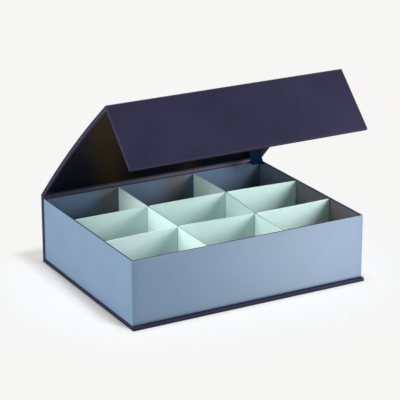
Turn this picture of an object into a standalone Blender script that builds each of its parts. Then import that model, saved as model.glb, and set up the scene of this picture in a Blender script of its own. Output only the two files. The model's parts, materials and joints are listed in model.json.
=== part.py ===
"""A book-style keepsake box: a cloth case of four boards round a paper-covered tray with a grid of dividers.

Metres, +Z up. The origin is on the table, under the middle of the closed case. +X runs along the box to the
right, and the lid's fold is at +Y. The lid is half open and its front flap hangs down.
"""

import math

import bmesh
import bpy
from mathutils import Matrix, Vector

for item in list(bpy.data.objects):
    bpy.data.objects.remove(item, do_unlink=True)

# Driving dimensions of the tray and the case
TRAY_WIDTH = 0.3260
TRAY_DEPTH = 0.2500
RIM_HEIGHT = 0.0877
SIDE_LEDGE = 0.0013
CASE_BOARD = 0.0030
CASE_CLOTH = 0.0004
TRAY_BOARD = 0.0016
TRAY_PAPER = 0.0002
SEAT_GAP = 0.0003

# How the lid and the flap stand
LID_OPEN_DEGREES = 41.3
FLAP_FOLD_DEGREES = 86.2
LID_CROWN = 0.0045
LID_REST_GAP = 0.0003
FLAP_CLEARANCE = 0.0004

# Folds and turned-in cloth
CREASE_GAP = 0.0004
CLOTH_BORDER = 0.0030
BASE_TURN_IN = 0.0150
MITRE_SLIT = 0.0003
PAPER_TURN_IN = 0.0120
CLOTH_ROUND = 0.00012

# Dividers
DIVIDER_CARD = 0.0015
DIVIDER_DROP = 0.0012
SLOT_CLEARANCE = 0.0004
SLOT_LEAD_IN = 0.0015

# Closure
MAGNET_RADIUS = 0.0050
MAGNET_THICKNESS = 0.0015
KEEPER_RADIUS = 0.0050
KEEPER_THICKNESS = 0.0008
CLOSURE_SPREAD = 0.2000
CLOSURE_HEIGHT = 0.0280

# Ribbon
RIBBON_WIDTH = 0.0189
RIBBON_THICKNESS = 0.0003
RIBBON_INSET = 0.0232
RIBBON_REACH = 0.0305
RIBBON_LEAN = 0.0074
RIBBON_FALL = 0.0140
RIBBON_CURL = 0.0014
RIBBON_SEAM_RISE = 0.0010
RIBBON_SIDESTEP = 0.0122

# Counts
CROWN_STEPS = 12
DIVIDER_STEPS = 24
DISC_SIDES = 32
RIBBON_STEPS = 5
ROUND_STEPS = 2

# Sizes that follow from those above
CASE_STACK = 2 * CASE_CLOTH + CASE_BOARD + 2 * SEAT_GAP
SKIN = CASE_CLOTH + SEAT_GAP
FRONT_LEDGE = CASE_STACK + FLAP_CLEARANCE
CASE_WIDTH = TRAY_WIDTH + 2 * SIDE_LEDGE
CASE_DEPTH = FRONT_LEDGE + TRAY_DEPTH + SEAT_GAP + CASE_STACK
CASE_FRONT = -CASE_DEPTH / 2
CASE_BACK = CASE_DEPTH / 2
HALF_CASE = CASE_WIDTH / 2
HALF_BOARD = HALF_CASE - SKIN
TRAY_FRONT = CASE_FRONT + FRONT_LEDGE
TRAY_BACK = TRAY_FRONT + TRAY_DEPTH
HALF_TRAY = TRAY_WIDTH / 2
SPINE_FACE = CASE_BACK - CASE_STACK
LID_TOP = RIM_HEIGHT + LID_REST_GAP + CASE_STACK
FOLD_Y = CASE_BACK - CASE_CLOTH / 2
FOLD_Z = LID_TOP - CASE_CLOTH / 2
FOLD_SETBACK = CASE_CLOTH / 2
LID_CHORD = CASE_DEPTH - CASE_CLOTH
EDGE_SETBACK = CASE_STACK + SEAT_GAP - CASE_CLOTH / 2
BOARD_SETBACK = EDGE_SETBACK + SKIN
JOINT_UNDERSIDE = CASE_CLOTH + SEAT_GAP + CASE_CLOTH
STANDING_TOP = LID_TOP - JOINT_UNDERSIDE - SEAT_GAP
STANDING_BOARD_TOP = STANDING_TOP - SKIN
FLAP_FOOT = CASE_STACK + FLAP_CLEARANCE
FLAP_REACH = FOLD_Z - FLAP_FOOT
FLAP_BOARD_END = STANDING_BOARD_TOP - FLAP_FOOT
FLAP_JOINT_END = STANDING_TOP - FLAP_FOOT
BORDER_INNER = CASE_CLOTH + CLOTH_BORDER
LINING_INSET = BORDER_INNER + SEAT_GAP
TRAY_FOOT = CASE_STACK + SEAT_GAP
WALL_FOOT = TRAY_FOOT + TRAY_PAPER + SEAT_GAP
WALL_TOP = RIM_HEIGHT - TRAY_PAPER - SEAT_GAP
PAPER_SKIN = TRAY_PAPER + SEAT_GAP
WALL_THICKNESS = 2 * PAPER_SKIN + TRAY_BOARD
FLOOR_TOP = WALL_FOOT + TRAY_BOARD + SEAT_GAP + TRAY_PAPER
INSIDE_LEFT = -HALF_TRAY + WALL_THICKNESS
INSIDE_RIGHT = HALF_TRAY - WALL_THICKNESS
INSIDE_FRONT = TRAY_FRONT + WALL_THICKNESS
INSIDE_BACK = TRAY_BACK - WALL_THICKNESS
INSIDE_WIDTH = INSIDE_RIGHT - INSIDE_LEFT
INSIDE_DEPTH = INSIDE_BACK - INSIDE_FRONT
DIVIDER_FOOT = FLOOR_TOP + SEAT_GAP
DIVIDER_TOP = RIM_HEIGHT - DIVIDER_DROP

# Where the strips' ends and crossings lie in the tray, as shares of its inside width and depth. The card is
# thin, so the strips run a little askew: each row holds the two ends and the two crossings, in order.
BACK_STRIP_SHARES = ((0.0, 0.654), (0.3226, 0.656), (0.6786, 0.6524), (1.0, 0.6266))
FRONT_STRIP_SHARES = ((0.0, 0.3007), (0.3201, 0.3182), (0.6549, 0.2937), (1.0, 0.2953))
LEFT_STRIP_SHARES = ((0.3170, 0.0), (0.3201, 0.3182), (0.3226, 0.656), (0.3261, 1.0))
RIGHT_STRIP_SHARES = ((0.6527, 0.0), (0.6549, 0.2937), (0.6786, 0.6524), (0.6760, 1.0))


def linear(code):
    """Turns an sRGB hex colour into linear values."""
    parts = [int(code[i : i + 2], 16) / 255 for i in (1, 3, 5)]
    return [c / 12.92 if c <= 0.04045 else ((c + 0.055) / 1.055) ** 2.4 for c in parts] + [1.0]


def material(name, code, roughness, metallic=0.0):
    made = bpy.data.materials.new(name)
    made.use_nodes = True
    shader = made.node_tree.nodes["Principled BSDF"]
    shader.inputs["Base Color"].default_value = linear(code)
    shader.inputs["Roughness"].default_value = roughness
    shader.inputs["Metallic"].default_value = metallic
    return made


greyboard = material("greyboard", "#8d8678", 0.9)
cover_cloth = material("cover_cloth", "#3b364b", 0.75)
dark_lining = material("dark_lining", "#141620", 0.6)
wrap_paper = material("wrap_paper", "#8ea6c0", 0.6)
inner_paper = material("inner_paper", "#6d8094", 0.65)
mint_card = material("mint_card", "#c3e1d9", 0.6)
satin_ribbon = material("satin_ribbon", "#1b2b57", 0.35)
nickel = material("nickel", "#b9bcc0", 0.25, 1.0)
plain_steel = material("plain_steel", "#9a9c9e", 0.35, 1.0)


def empty_at(name, place, turn_degrees, parent=None):
    """An empty on a fold's axis, turned about X."""
    made = bpy.data.objects.new(name, None)
    bpy.context.scene.collection.objects.link(made)
    made.parent = parent
    made.location = place
    made.rotation_euler = (math.radians(turn_degrees), 0, 0)
    return made


lid_axis = empty_at("lid_axis", (0, FOLD_Y, FOLD_Z), -LID_OPEN_DEGREES)
flap_axis = empty_at("flap_axis", (0, -LID_CHORD, 0), FLAP_FOLD_DEGREES - 90, lid_axis)


def finish(mesh, name, look, parent=None, rounded=False):
    """Makes the object, with its faces out and, for cloth, its folded edges softened."""
    bmesh.ops.recalc_face_normals(mesh, faces=mesh.faces)
    if mesh.calc_volume(signed=True) < 0:
        bmesh.ops.reverse_faces(mesh, faces=mesh.faces)
    data = bpy.data.meshes.new(name)
    mesh.to_mesh(data)
    mesh.free()
    made = bpy.data.objects.new(name, data)
    bpy.context.scene.collection.objects.link(made)
    made.parent = parent
    data.materials.append(look)
    if rounded:
        bevel = made.modifiers.new("soft_edges", "BEVEL")
        bevel.width = CLOTH_ROUND
        bevel.segments = ROUND_STEPS
        bevel.limit_method = "ANGLE"
    return made


def slab(low, high):
    """A box between two corners."""
    mesh = bmesh.new()
    size = Vector(high) - Vector(low)
    centre = (Vector(high) + Vector(low)) / 2
    bmesh.ops.create_cube(mesh, size=1, matrix=Matrix.Translation(centre) @ Matrix.Diagonal((*size, 1)))
    return mesh


def cut(mesh, axis, places):
    """Cuts the mesh's faces along planes square to an axis, without opening it."""
    for place in places:
        point = Vector((0, 0, 0))
        normal = Vector((0, 0, 0))
        point[axis] = place
        normal[axis] = 1
        everything = mesh.verts[:] + mesh.edges[:] + mesh.faces[:]
        bmesh.ops.bisect_plane(mesh, geom=everything, dist=SEAT_GAP / 100, plane_co=point, plane_no=normal)


def faces_facing(mesh, direction, low, high):
    """The faces that face along a direction, with their centres between two corners."""
    mesh.normal_update()
    found = []
    for face in mesh.faces:
        centre = face.calc_center_median()
        inside = all(low[i] < centre[i] < high[i] for i in range(3))
        if inside and face.normal.dot(Vector(direction)) > 0.99:
            found.append(face)
    return found


def pull(mesh, faces, shift):
    """Extrudes faces by a shift and gives back the moved corners."""
    made = bmesh.ops.extrude_face_region(mesh, geom=faces)["geom"]
    moved = [item for item in made if isinstance(item, bmesh.types.BMVert)]
    bmesh.ops.delete(mesh, geom=[face for face in faces if face.is_valid], context="FACES_ONLY")
    bmesh.ops.translate(mesh, verts=moved, vec=Vector(shift))
    return moved


def wrapped_cloth(length, walls, turns, end_wrapped, turn_in):
    """A sheet of cover cloth drawn round a board's edges, in its own frame.

    X runs across, Y from the low end and Z from the outer face inwards. The sheet runs the whole length, the
    side walls run over the range walls and their turned-in strips over the range turns. A wrapped low end
    has a wall and a strip of its own, mitred to the side strips.
    """
    far = 2 * HALF_CASE + length
    wall = HALF_CASE - CASE_CLOTH
    mesh = slab((-HALF_CASE, 0, 0), (HALF_CASE, length, CASE_CLOTH))
    mitre = wall - MITRE_SLIT
    cut(mesh, 0, [-wall, wall] + ([-mitre, mitre] if end_wrapped else []))
    turn_start = CASE_CLOTH + MITRE_SLIT if end_wrapped else turns[0]
    rows = [CASE_CLOTH, turn_start] if end_wrapped else [walls[0], turns[0]]
    rows += [turns[1], walls[1]]
    cut(mesh, 1, sorted({row for row in rows if 0 < row < length}))
    rising = faces_facing(mesh, (0, 0, 1), (wall, walls[0], 0), (far, walls[1], far))
    rising += faces_facing(mesh, (0, 0, 1), (-far, walls[0], 0), (-wall, walls[1], far))
    if end_wrapped:
        rising += faces_facing(mesh, (0, 0, 1), (-wall, 0, 0), (wall, CASE_CLOTH, far))
    pull(mesh, rising, (0, 0, CASE_STACK - 2 * CASE_CLOTH))
    upper = faces_facing(mesh, (0, 0, 1), (-far, 0, CASE_CLOTH + SEAT_GAP), (far, length, far))
    pull(mesh, upper, (0, 0, CASE_CLOTH))
    strip = CASE_STACK - CASE_CLOTH
    for side in (-1, 1):
        edges = sorted((side * (wall - SEAT_GAP), side * (wall + SEAT_GAP)))
        low = (edges[0], turn_start, strip)
        high = (edges[1], turns[1], far)
        moved = pull(mesh, faces_facing(mesh, (-side, 0, 0), low, high), (-side * turn_in, 0, 0))
        if end_wrapped:
            nearest = min(corner.co.y for corner in moved)
            for corner in moved:
                if corner.co.y < nearest + SEAT_GAP / 2:
                    corner.co.y += turn_in
    if end_wrapped:
        ends = faces_facing(mesh, (0, 1, 0), (-mitre, 0, strip), (mitre, CASE_CLOTH + SEAT_GAP, far))
        for corner in pull(mesh, ends, (0, turn_in, 0)):
            if abs(corner.co.x) > mitre - SEAT_GAP / 2:
                corner.co.x -= math.copysign(turn_in, corner.co.x)
    return mesh


def crown(mesh):
    """Bows a piece of the lid outwards, as a parabola between the two folds."""
    ends = [corner.co.y for corner in mesh.verts]
    low, high = min(ends), max(ends)
    cut(mesh, 1, [low + (high - low) * i / CROWN_STEPS for i in range(1, CROWN_STEPS)])
    for corner in mesh.verts:
        across = 2 * -corner.co.y / LID_CHORD - 1
        corner.co.z += LID_CROWN * (1 - across * across)
    return mesh


def swept_frame(profile, high_y=TRAY_BACK, low_y=TRAY_FRONT):
    """Carries a closed profile round the tray's rectangle. Each profile point is (inset, height)."""
    mesh = bmesh.new()
    rings = []
    for inset, height in profile:
        x = HALF_TRAY - inset
        back = high_y - inset
        front = low_y + inset
        corners = ((-x, front), (x, front), (x, back), (-x, back))
        rings.append([mesh.verts.new((*corner, height)) for corner in corners])
    for i, ring in enumerate(rings):
        following = rings[(i + 1) % len(rings)]
        for j in range(4):
            k = (j + 1) % 4
            mesh.faces.new((ring[j], ring[k], following[k], following[j]))
    return mesh


def profile_along_x(points, half_width):
    """Extrudes a closed (y, z) outline across the box."""
    mesh = bmesh.new()
    face = mesh.faces.new([mesh.verts.new((-half_width, y, z)) for y, z in points])
    pull_all = bmesh.ops.extrude_face_region(mesh, geom=[face])["geom"]
    moved = [item for item in pull_all if isinstance(item, bmesh.types.BMVert)]
    bmesh.ops.translate(mesh, verts=moved, vec=Vector((2 * half_width, 0, 0)))
    return mesh


def smooth_path(points, steps):
    """A Catmull-Rom curve through the points, with a number of steps from each to the next."""
    ends = [2 * points[0] - points[1]] + list(points) + [2 * points[-1] - points[-2]]
    path = []
    for i in range(1, len(ends) - 2):
        before, here, there, after = ends[i - 1 : i + 3]
        for step in range(steps):
            t = step / steps
            path.append(
                (
                    2 * here
                    + (there - before) * t
                    + (2 * before - 5 * here + 4 * there - after) * t**2
                    + (3 * here - before - 3 * there + after) * t**3
                )
                / 2
            )
    path.append(points[-1].copy())
    return path


def disc_cutter(name, radius, place, depth, parent=None):
    """A cylinder with its axis along Y, from a place towards -Y."""
    mesh = bmesh.new()
    turned = Matrix.Translation(Vector(place) - Vector((0, depth / 2, 0))) @ Matrix.Rotation(math.pi / 2, 4, "X")
    bmesh.ops.create_cone(
        mesh,
        cap_ends=True,
        segments=DISC_SIDES,
        radius1=radius,
        radius2=radius,
        depth=depth,
        matrix=turned,
    )
    cutter = finish(mesh, name, greyboard, parent)
    cutter.hide_render = True
    cutter.display_type = "WIRE"
    return cutter


def bore(target, cutter):
    hole = target.modifiers.new(cutter.name, "BOOLEAN")
    hole.operation = "DIFFERENCE"
    hole.solver = "EXACT"
    hole.object = cutter


def disc(name, look, radius, place, depth, parent=None):
    """A disc with its axis along Y, from a place towards -Y, smooth round its rim."""
    made = disc_cutter(name, radius, place, depth, parent)
    made.hide_render = False
    made.display_type = "TEXTURED"
    made.data.materials.clear()
    made.data.materials.append(look)
    made.data.shade_smooth()
    made.data.set_sharp_from_angle(angle=math.radians(40))
    return made


def base():
    """The base board and its cloth, which is drawn up round the front and side edges and under the tray."""
    length = CASE_DEPTH - CASE_CLOTH - SEAT_GAP
    board_end = SPINE_FACE - SEAT_GAP - CASE_FRONT
    cloth = wrapped_cloth(length, (0, board_end), (0, board_end), True, BASE_TURN_IN)
    cloth.transform(Matrix.Translation((0, CASE_FRONT, 0)))
    finish(cloth, "base_cloth", cover_cloth, rounded=True)
    low = (-HALF_BOARD, CASE_FRONT + SKIN, SKIN)
    high = (HALF_BOARD, SPINE_FACE - SEAT_GAP, SKIN + CASE_BOARD)
    finish(slab(low, high), "base_board", greyboard)


def spine():
    """The board that stands behind the tray, its cloth and the lining that laps over its top edge."""
    standing = Matrix(((1, 0, 0, 0), (0, 0, -1, CASE_BACK), (0, 1, 0, 0), (0, 0, 0, 1)))
    top = FOLD_Z - CREASE_GAP
    turns = (CASE_STACK + SEAT_GAP, STANDING_BOARD_TOP)
    cloth = wrapped_cloth(top, (SKIN, STANDING_BOARD_TOP), turns, False, CLOTH_BORDER)
    cloth.transform(standing)
    finish(cloth, "spine_cloth", cover_cloth, rounded=True)
    low = (-HALF_BOARD, CASE_BACK - SKIN - CASE_BOARD, SKIN)
    high = (HALF_BOARD, CASE_BACK - SKIN, STANDING_BOARD_TOP)
    finish(slab(low, high), "spine_board", greyboard)
    lining = slab((-HALF_CASE, SPINE_FACE, STANDING_TOP - CASE_CLOTH), (HALF_CASE, CASE_BACK - SKIN, STANDING_TOP))
    inside = HALF_CASE - LINING_INSET
    cut(lining, 0, [-inside, inside])
    cut(lining, 1, [SPINE_FACE + CASE_CLOTH])
    under = faces_facing(lining, (0, 0, -1), (-inside, SPINE_FACE, 0), (inside, SPINE_FACE + CASE_CLOTH, LID_TOP))
    pull(lining, under, (0, 0, SKIN + CASE_CLOTH - STANDING_TOP))
    finish(lining, "spine_lining", cover_cloth)


def joint_profile():
    """The cloth in one of the lid's gutters: under the cover cloth, down the board's edge and round to its inner face.

    Each point is (distance from the fold, height above the fold).
    """
    above = -FOLD_SETBACK - SEAT_GAP
    below = above - CASE_CLOTH
    inner = FOLD_SETBACK - CASE_STACK
    edge = EDGE_SETBACK
    border = BOARD_SETBACK + CLOTH_BORDER
    return [
        (CREASE_GAP, above),
        (edge + CASE_CLOTH, above),
        (edge + CASE_CLOTH, inner + CASE_CLOTH),
        (border, inner + CASE_CLOTH),
        (border, inner),
        (edge, inner),
        (edge, below),
        (CREASE_GAP, below),
    ]


def lid():
    """The lid's board, cloth and lining, bowed outwards, and the cloth in the gutters at its two folds."""
    flat = Matrix(((1, 0, 0, 0), (0, -1, 0, -CREASE_GAP), (0, 0, -1, FOLD_SETBACK), (0, 0, 0, 1)))
    length = LID_CHORD - 2 * CREASE_GAP
    walls = (EDGE_SETBACK - CREASE_GAP, length - EDGE_SETBACK + CREASE_GAP)
    border = BOARD_SETBACK + CLOTH_BORDER + SEAT_GAP
    turns = (border - CREASE_GAP, length - border + CREASE_GAP)
    cloth = wrapped_cloth(length, walls, turns, False, CLOTH_BORDER)
    cloth.transform(flat)
    finish(crown(cloth), "lid_cloth", cover_cloth, lid_axis, rounded=True)
    top = FOLD_SETBACK - SKIN
    low = (-HALF_BOARD, BOARD_SETBACK - LID_CHORD, top - CASE_BOARD)
    high = (HALF_BOARD, -BOARD_SETBACK, top)
    finish(crown(slab(low, high)), "lid_board", greyboard, lid_axis)
    inside = HALF_CASE - LINING_INSET
    inner = FOLD_SETBACK - CASE_STACK
    lining = slab((-inside, border - LID_CHORD, inner), (inside, -border, inner + CASE_CLOTH))
    finish(crown(lining), "lid_lining", dark_lining, lid_axis)
    back = profile_along_x([(-reach, height) for reach, height in joint_profile()], HALF_BOARD)
    finish(bend_only(back), "lid_back_joint_cloth", cover_cloth, lid_axis)
    front = profile_along_x([(reach - LID_CHORD, height) for reach, height in joint_profile()], HALF_BOARD)
    finish(bend_only(front), "lid_front_joint_cloth", cover_cloth, lid_axis)


def bend_only(mesh):
    """Sets a short piece on the lid's bow by its own corners."""
    for corner in mesh.verts:
        across = 2 * -corner.co.y / LID_CHORD - 1
        corner.co.z += LID_CROWN * (1 - across * across)
    return mesh


def flap():
    """The front flap. Its cloth is drawn round three edges, and two magnets sit in its board."""
    hanging = Matrix(((1, 0, 0, 0), (0, 0, 1, -FOLD_SETBACK), (0, 1, 0, -FLAP_REACH), (0, 0, 0, 1)))
    border = FLAP_JOINT_END - CASE_CLOTH - CLOTH_BORDER - SEAT_GAP
    walls = (0, FLAP_BOARD_END)
    cloth = wrapped_cloth(FLAP_REACH - CREASE_GAP, walls, (0, border), True, CLOTH_BORDER)
    cloth.transform(hanging)
    finish(cloth, "flap_cloth", cover_cloth, flap_axis, rounded=True)
    outer = -FOLD_SETBACK
    low = (-HALF_BOARD, outer + SKIN, SKIN - FLAP_REACH)
    high = (HALF_BOARD, outer + SKIN + CASE_BOARD, FLAP_BOARD_END - FLAP_REACH)
    board = finish(slab(low, high), "flap_board", greyboard, flap_axis)
    inner = outer + CASE_STACK
    inside = HALF_CASE - LINING_INSET
    low = (-inside, inner - CASE_CLOTH, LINING_INSET - FLAP_REACH)
    high = (inside, inner, border - FLAP_REACH)
    finish(slab(low, high), "flap_lining", dark_lining, flap_axis)
    top = FLAP_JOINT_END - FLAP_REACH
    joint = slab((-HALF_CASE, outer + SKIN, top - CASE_CLOTH), (HALF_CASE, inner, top))
    cut(joint, 0, [-HALF_BOARD, HALF_BOARD])
    cut(joint, 1, [inner - CASE_CLOTH])
    under = faces_facing(joint, (0, 0, -1), (-HALF_BOARD, inner - CASE_CLOTH, -LID_TOP), (HALF_BOARD, inner, 0))
    pull(joint, under, (0, 0, -CLOTH_BORDER))
    finish(joint, "flap_joint_cloth", cover_cloth, flap_axis)
    face = outer + SKIN + CASE_BOARD
    height = CLOSURE_HEIGHT - FOLD_Z
    for side, x in (("left", -CLOSURE_SPREAD / 2), ("right", CLOSURE_SPREAD / 2)):
        depth = MAGNET_THICKNESS + SEAT_GAP
        place = (x, face + SEAT_GAP, height)
        bore(board, disc_cutter(f"magnet_pocket_{side}", MAGNET_RADIUS + SEAT_GAP, place, depth + SEAT_GAP, flap_axis))
        disc(f"flap_magnet_{side}", nickel, MAGNET_RADIUS, (x, face, height), MAGNET_THICKNESS, flap_axis)


def tray():
    """Five boards, the pale wrap outside them and the darker papers inside them."""
    inset = PAPER_SKIN
    inner = inset + TRAY_BOARD
    front = TRAY_FRONT + inset
    back = TRAY_BACK - inset
    side = HALF_TRAY - inset
    inner_side = HALF_TRAY - inner
    rows = (front + TRAY_BOARD + SEAT_GAP, back - TRAY_BOARD - SEAT_GAP)
    front_wall = finish(
        slab((-side, front, WALL_FOOT), (side, front + TRAY_BOARD, WALL_TOP)),
        "tray_front_wall",
        greyboard,
    )
    finish(slab((-side, back - TRAY_BOARD, WALL_FOOT), (side, back, WALL_TOP)), "tray_back_wall", greyboard)
    finish(slab((-side, rows[0], WALL_FOOT), (-inner_side, rows[1], WALL_TOP)), "tray_left_wall", greyboard)
    finish(slab((inner_side, rows[0], WALL_FOOT), (side, rows[1], WALL_TOP)), "tray_right_wall", greyboard)
    floor_side = inner_side - SEAT_GAP
    floor_board = slab((-floor_side, rows[0], WALL_FOOT), (floor_side, rows[1], WALL_FOOT + TRAY_BOARD))
    finish(floor_board, "tray_floor_board", greyboard)
    outside = [
        (0, TRAY_FOOT),
        (0, WALL_TOP),
        (TRAY_PAPER, WALL_TOP),
        (TRAY_PAPER, TRAY_FOOT + TRAY_PAPER),
        (PAPER_TURN_IN, TRAY_FOOT + TRAY_PAPER),
        (PAPER_TURN_IN, TRAY_FOOT),
    ]
    finish(swept_frame(outside), "tray_outer_paper", wrap_paper)
    lip = RIM_HEIGHT - TRAY_PAPER
    lining_foot = FLOOR_TOP + SEAT_GAP
    inside = [
        (0, lip),
        (0, RIM_HEIGHT),
        (WALL_THICKNESS, RIM_HEIGHT),
        (WALL_THICKNESS, lining_foot),
        (WALL_THICKNESS - TRAY_PAPER, lining_foot),
        (WALL_THICKNESS - TRAY_PAPER, lip),
    ]
    finish(swept_frame(inside), "tray_inner_paper", inner_paper)
    low = (-floor_side, rows[0], FLOOR_TOP - TRAY_PAPER)
    finish(slab(low, (floor_side, rows[1], FLOOR_TOP)), "tray_floor_paper", inner_paper)
    for name, x in (("left", -CLOSURE_SPREAD / 2), ("right", CLOSURE_SPREAD / 2)):
        depth = KEEPER_THICKNESS + SEAT_GAP
        mouth = (x, front + depth, CLOSURE_HEIGHT)
        bore(front_wall, disc_cutter(f"keeper_pocket_{name}", KEEPER_RADIUS + SEAT_GAP, mouth, depth + SEAT_GAP))
        disc(f"keeper_{name}", plain_steel, KEEPER_RADIUS, (x, front + KEEPER_THICKNESS, CLOSURE_HEIGHT), KEEPER_THICKNESS)


def divider(name, shares, crossing_axis, slot_from_top):
    """A strip of card with two half-lap slots, cut flat and then laid along its path on the tray's floor.

    crossing_axis is 0 for a strip that runs along X, whose slots lie at its crossings.
    """
    points = [
        Vector((INSIDE_LEFT + INSIDE_WIDTH * along, INSIDE_FRONT + INSIDE_DEPTH * back, 0)) for along, back in shares
    ]
    for point, step in ((points[0], 1), (points[-1], -1)):
        point[crossing_axis] += step * SEAT_GAP
    path = smooth_path(points, DIVIDER_STEPS // 3)
    lengths = [0.0]
    for here, there in zip(path, path[1:]):
        lengths.append(lengths[-1] + (there - here).length)
    slots = [lengths[DIVIDER_STEPS // 3], lengths[2 * (DIVIDER_STEPS // 3)]]
    middle = (DIVIDER_FOOT + DIVIDER_TOP) / 2
    half_slot = DIVIDER_CARD / 2 + SLOT_CLEARANCE
    bottom = middle - SEAT_GAP / 2 if slot_from_top else middle + SEAT_GAP / 2
    mouth = DIVIDER_TOP if slot_from_top else DIVIDER_FOOT
    inwards = -1 if slot_from_top else 1
    slotted = []
    for slot in slots:
        slotted += [
            (slot - half_slot - SLOT_LEAD_IN, mouth),
            (slot - half_slot, mouth + inwards * SLOT_LEAD_IN),
            (slot - half_slot, bottom),
            (slot + half_slot, bottom),
            (slot + half_slot, mouth + inwards * SLOT_LEAD_IN),
            (slot + half_slot + SLOT_LEAD_IN, mouth),
        ]
    plain = DIVIDER_FOOT if slot_from_top else DIVIDER_TOP
    outline = [(0.0, plain), (0.0, mouth)] + slotted + [(lengths[-1], mouth), (lengths[-1], plain)]
    mesh = bmesh.new()
    face = mesh.faces.new([mesh.verts.new((along, -DIVIDER_CARD / 2, height)) for along, height in outline])
    made = bmesh.ops.extrude_face_region(mesh, geom=[face])["geom"]
    moved = [item for item in made if isinstance(item, bmesh.types.BMVert)]
    bmesh.ops.translate(mesh, verts=moved, vec=Vector((0, DIVIDER_CARD, 0)))
    cut(mesh, 0, lengths[1:-1])
    for corner in mesh.verts:
        corner.co = laid_along(path, lengths, corner.co)
    finish(mesh, name, mint_card)


def laid_along(path, lengths, point):
    """Moves a point of the flat strip onto the path: X becomes the way along it and Y the way off it."""
    along = min(max(point.x, 0.0), lengths[-1])
    i = 0
    while i < len(lengths) - 2 and lengths[i + 1] < along:
        i += 1
    share = (along - lengths[i]) / (lengths[i + 1] - lengths[i])
    here = path[i].lerp(path[i + 1], share)
    before = (path[i + 1] - path[max(i - 1, 0)]).normalized()
    after = (path[min(i + 2, len(path) - 1)] - path[i]).normalized()
    heading = before.lerp(after, share).normalized()
    return here + Vector((-heading.y, heading.x, 0)) * point.y + Vector((0, 0, point.z))


def ribbon():
    """The satin ribbon: out from under the lid's lining, down in a slack fold and back to the seam at the spine.

    Its lower run also steps aside towards the tray's corner.
    """
    open_angle = math.radians(LID_OPEN_DEGREES)
    forward = Vector((0, -math.cos(open_angle), math.sin(open_angle)))
    inwards = Vector((0, -math.sin(open_angle), -math.cos(open_angle)))
    along = RIBBON_REACH / LID_CHORD
    bow = 4 * LID_CROWN * along * (1 - along)
    depth = CASE_STACK - FOLD_SETBACK - bow + SEAT_GAP + RIBBON_THICKNESS / 2
    top = Vector((0, FOLD_Y, FOLD_Z)) + forward * RIBBON_REACH + inwards * depth
    front = top + Vector((0, -RIBBON_LEAN, -RIBBON_FALL))
    under = front + Vector((0, RIBBON_CURL, -RIBBON_CURL))
    seam = Vector((0, SPINE_FACE - SEAT_GAP, RIM_HEIGHT + RIBBON_SEAM_RISE))
    points = [
        top,
        top.lerp(front, 0.45),
        front,
        under,
        under.lerp(seam, 0.2),
        under.lerp(seam, 0.6),
        seam,
    ]
    path = smooth_path(points, RIBBON_STEPS)
    outline = []
    for side in (1, -1):
        rows = range(len(path)) if side == 1 else reversed(range(len(path)))
        for i in rows:
            heading = (path[min(i + 1, len(path) - 1)] - path[max(i - 1, 0)]).normalized()
            off = Vector((0, -heading.z, heading.y)) * (side * RIBBON_THICKNESS / 2)
            outline.append((path[i].y + off.y, path[i].z + off.z))
    mesh = ribbon_strip(outline, len(path))
    mesh.transform(Matrix.Translation((HALF_TRAY - RIBBON_INSET, 0, 0)))
    for corner in mesh.verts:
        if corner.co.z < front.z and corner.co.y > under.y:
            corner.co.x += RIBBON_SIDESTEP * (corner.co.y - under.y) / (seam.y - under.y)
    made = finish(mesh, "lid_ribbon", satin_ribbon)
    made.data.shade_smooth()
    made.data.set_sharp_from_angle(angle=math.radians(40))


def ribbon_strip(outline, count):
    """Closes a thin (y, z) outline into a strip, quad by quad. Its second half runs back beside its first."""
    mesh = bmesh.new()
    sides = [[mesh.verts.new((x, y, z)) for y, z in outline] for x in (-RIBBON_WIDTH / 2, RIBBON_WIDTH / 2)]
    total = len(outline)
    for i in range(total):
        k = (i + 1) % total
        mesh.faces.new((sides[0][i], sides[0][k], sides[1][k], sides[1][i]))
    for side in sides:
        for i in range(count - 1):
            mesh.faces.new((side[i], side[i + 1], side[total - 2 - i], side[total - 1 - i]))
    return mesh


base()
spine()
lid()
flap()
tray()
divider("long_divider_back", BACK_STRIP_SHARES, 0, True)
divider("long_divider_front", FRONT_STRIP_SHARES, 0, True)
divider("cross_divider_left", LEFT_STRIP_SHARES, 1, False)
divider("cross_divider_right", RIGHT_STRIP_SHARES, 1, False)
ribbon()
bpy.context.view_layer.update()
print(f"{sum(item.type == 'MESH' and not item.hide_render for item in bpy.data.objects)} pieces")
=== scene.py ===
import json
import math

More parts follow.
